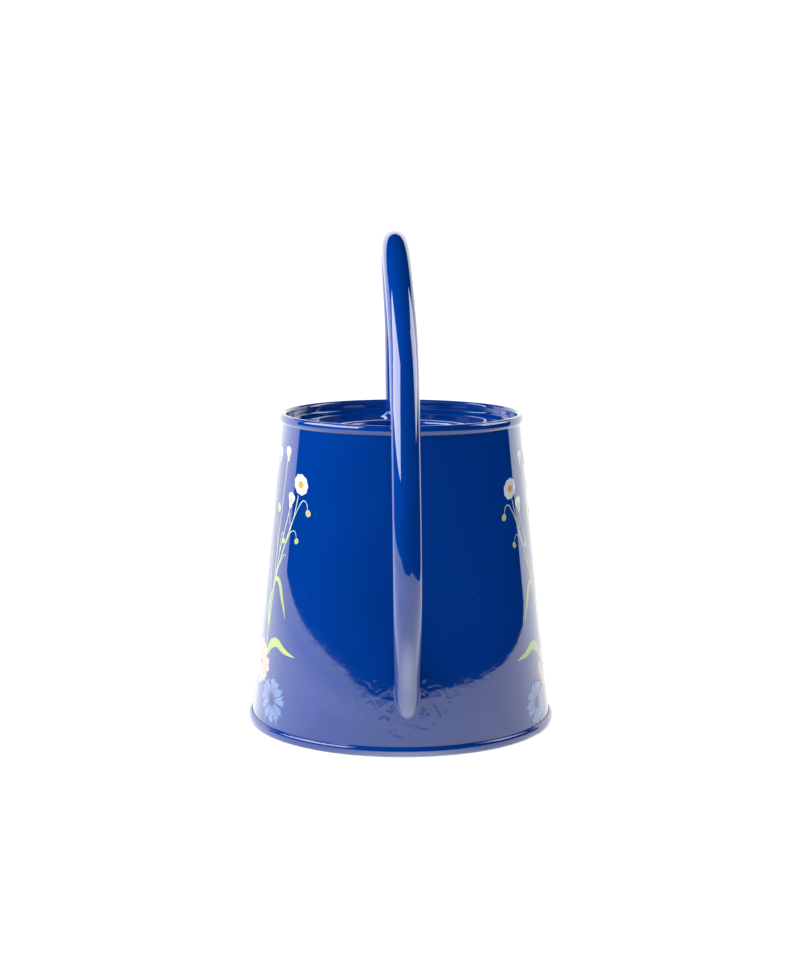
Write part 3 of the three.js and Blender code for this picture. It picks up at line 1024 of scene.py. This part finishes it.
# degrees round from the camera's side, positive to its right, and degrees up
leftBox = {"from": -104, "to": -42, "low": 8, "high": 44, "away": 0.55, "strength": 6.0, "key": 12.0}
rightBox = {"from": 76, "to": 113, "low": 9, "high": 44, "away": 0.37, "strength": 4.0}
floorGlow = {  # a bright fan of floor behind the can
    "centre": inCan(-66, 0), "near": 3.2, "far": 1.35, "reach": 50 * mm, "fall": 1.5,
    "inner": 62.5 * mm, "outer": 262 * mm, "from": -60, "to": 60, "steps": 24, "lift": 0.1 * mm,
}


def stageSheet(name, points, faces, shader):
    mesh = bpy.data.meshes.new(name)
    mesh.from_pydata(points, [], faces)
    sheet = bpy.data.objects.new(name, mesh)
    bpy.context.scene.collection.objects.link(sheet)
    sheet.data.materials.append(shader)
    return sheet


def showOnlyTo(sheet, gloss):  # the gloss, or else the matte colour under it
    sheet.visible_camera = False
    sheet.visible_glossy = gloss
    sheet.visible_diffuse = not gloss
    sheet.visible_transmission = False
    sheet.visible_shadow = False


def glow(name, strength):
    light = Finish(name)
    shader = light.node("Emission", None, {"Color": (1, 1, 1, 1), "Strength": strength})
    return light.finish(shader)


def fadingGlow(name, spot):  # brightest at its centre
    light = Finish(name)
    place = light.node("TexCoord", None, None, output=3)
    away = light.node("VectorMath", {"operation": "DISTANCE"}, {0: place, 1: spot["centre"]}, output=1)
    share = (1 - light.smooth(away, 0.0, spot["reach"])) ** spot["fall"]
    strength = share * (spot["near"] - spot["far"]) + spot["far"]
    shader = light.node("Emission", None, {"Color": (1, 1, 1, 1), "Strength": strength})
    return light.finish(shader)


def makeBox(name, box, strength, gloss):
    count = studio["boxSteps"]
    points = []
    for level in (box["low"], box["high"]):
        height = studio["boxHeight"] + box["away"] * math.tan(math.radians(level))
        for i in range(count + 1):
            turn = math.radians(box["from"] + (box["to"] - box["from"]) * i / count)
            points.append((canAxis.x - box["away"] * math.cos(turn), -box["away"] * math.sin(turn), height))
    faces = [(i, i + 1, count + i + 2, count + i + 1) for i in range(count)]
    showOnlyTo(stageSheet(name, points, faces, glow(name, strength)), gloss)


def makeScreens():
    black = glow("blackCloth", 0.0)
    top = studio["screenHeight"]
    foot = [(canAxis.x + x, y, 0) for x, y in studio["screen"]]
    points = foot + [(x, y, top) for x, y, z in foot]
    count = len(foot)
    faces = [(i, i + 1, count + i + 1, count + i) for i in range(count - 1)]
    showOnlyTo(stageSheet("blackScreen", points, faces, black), gloss=True)
    roof = [(x, y, top) for x, y in studio["roof"]]
    showOnlyTo(stageSheet("blackRoof", roof, [(0, 1, 2, 3)], black), gloss=True)


def makeFloor():
    bpy.ops.mesh.primitive_circle_add(
        vertices=studio["floorSides"], radius=studio["floorRadius"], fill_type="NGON",
        location=(0, 0, -studio["floorSink"]),
    )
    floor = bpy.context.object
    floor.name = "studioFloor"
    paper = Finish("whitePaper")
    shade = paper.node("BsdfPrincipled", None, {
        "Base Color": studio["paper"], "Roughness": 0.9, "Specular IOR Level": 0.0,
        "Emission Color": (1, 1, 1, 1), "Emission Strength": studio["paperGlow"],
    })
    floor.data.materials.append(paper.finish(shade))


def makeFloorGlow():
    points = []
    count = floorGlow["steps"]
    for i in range(count + 1):
        turn = math.radians(floorGlow["from"] + (floorGlow["to"] - floorGlow["from"]) * i / count)
        for reach in (floorGlow["inner"], floorGlow["outer"]):
            points.append((canAxis.x - reach * math.cos(turn), -reach * math.sin(turn), floorGlow["lift"]))
    faces = [(2 * i, 2 * i + 1, 2 * i + 3, 2 * i + 2) for i in range(count)]
    showOnlyTo(stageSheet("floorGlow", points, faces, fadingGlow("floorGlow", floorGlow)), gloss=True)


def makeStudio():
    world = bpy.data.worlds.new("whiteRoom")
    bpy.context.scene.world = world
    world.use_nodes = True
    sky = world.node_tree.nodes["Background"]
    sky.inputs["Color"].default_value = (1, 1, 1, 1)
    sky.inputs["Strength"].default_value = studio["white"]
    makeFloor()
    makeFloorGlow()
    makeScreens()
    makeBox("leftSoftBox", leftBox, leftBox["strength"], gloss=True)
    makeBox("leftKey", leftBox, leftBox["key"], gloss=False)
    makeBox("rightSoftBox", rightBox, rightBox["strength"], gloss=True)
    bpy.context.scene.view_settings.view_transform = "Standard"


makeStudio()
print("studio lit")
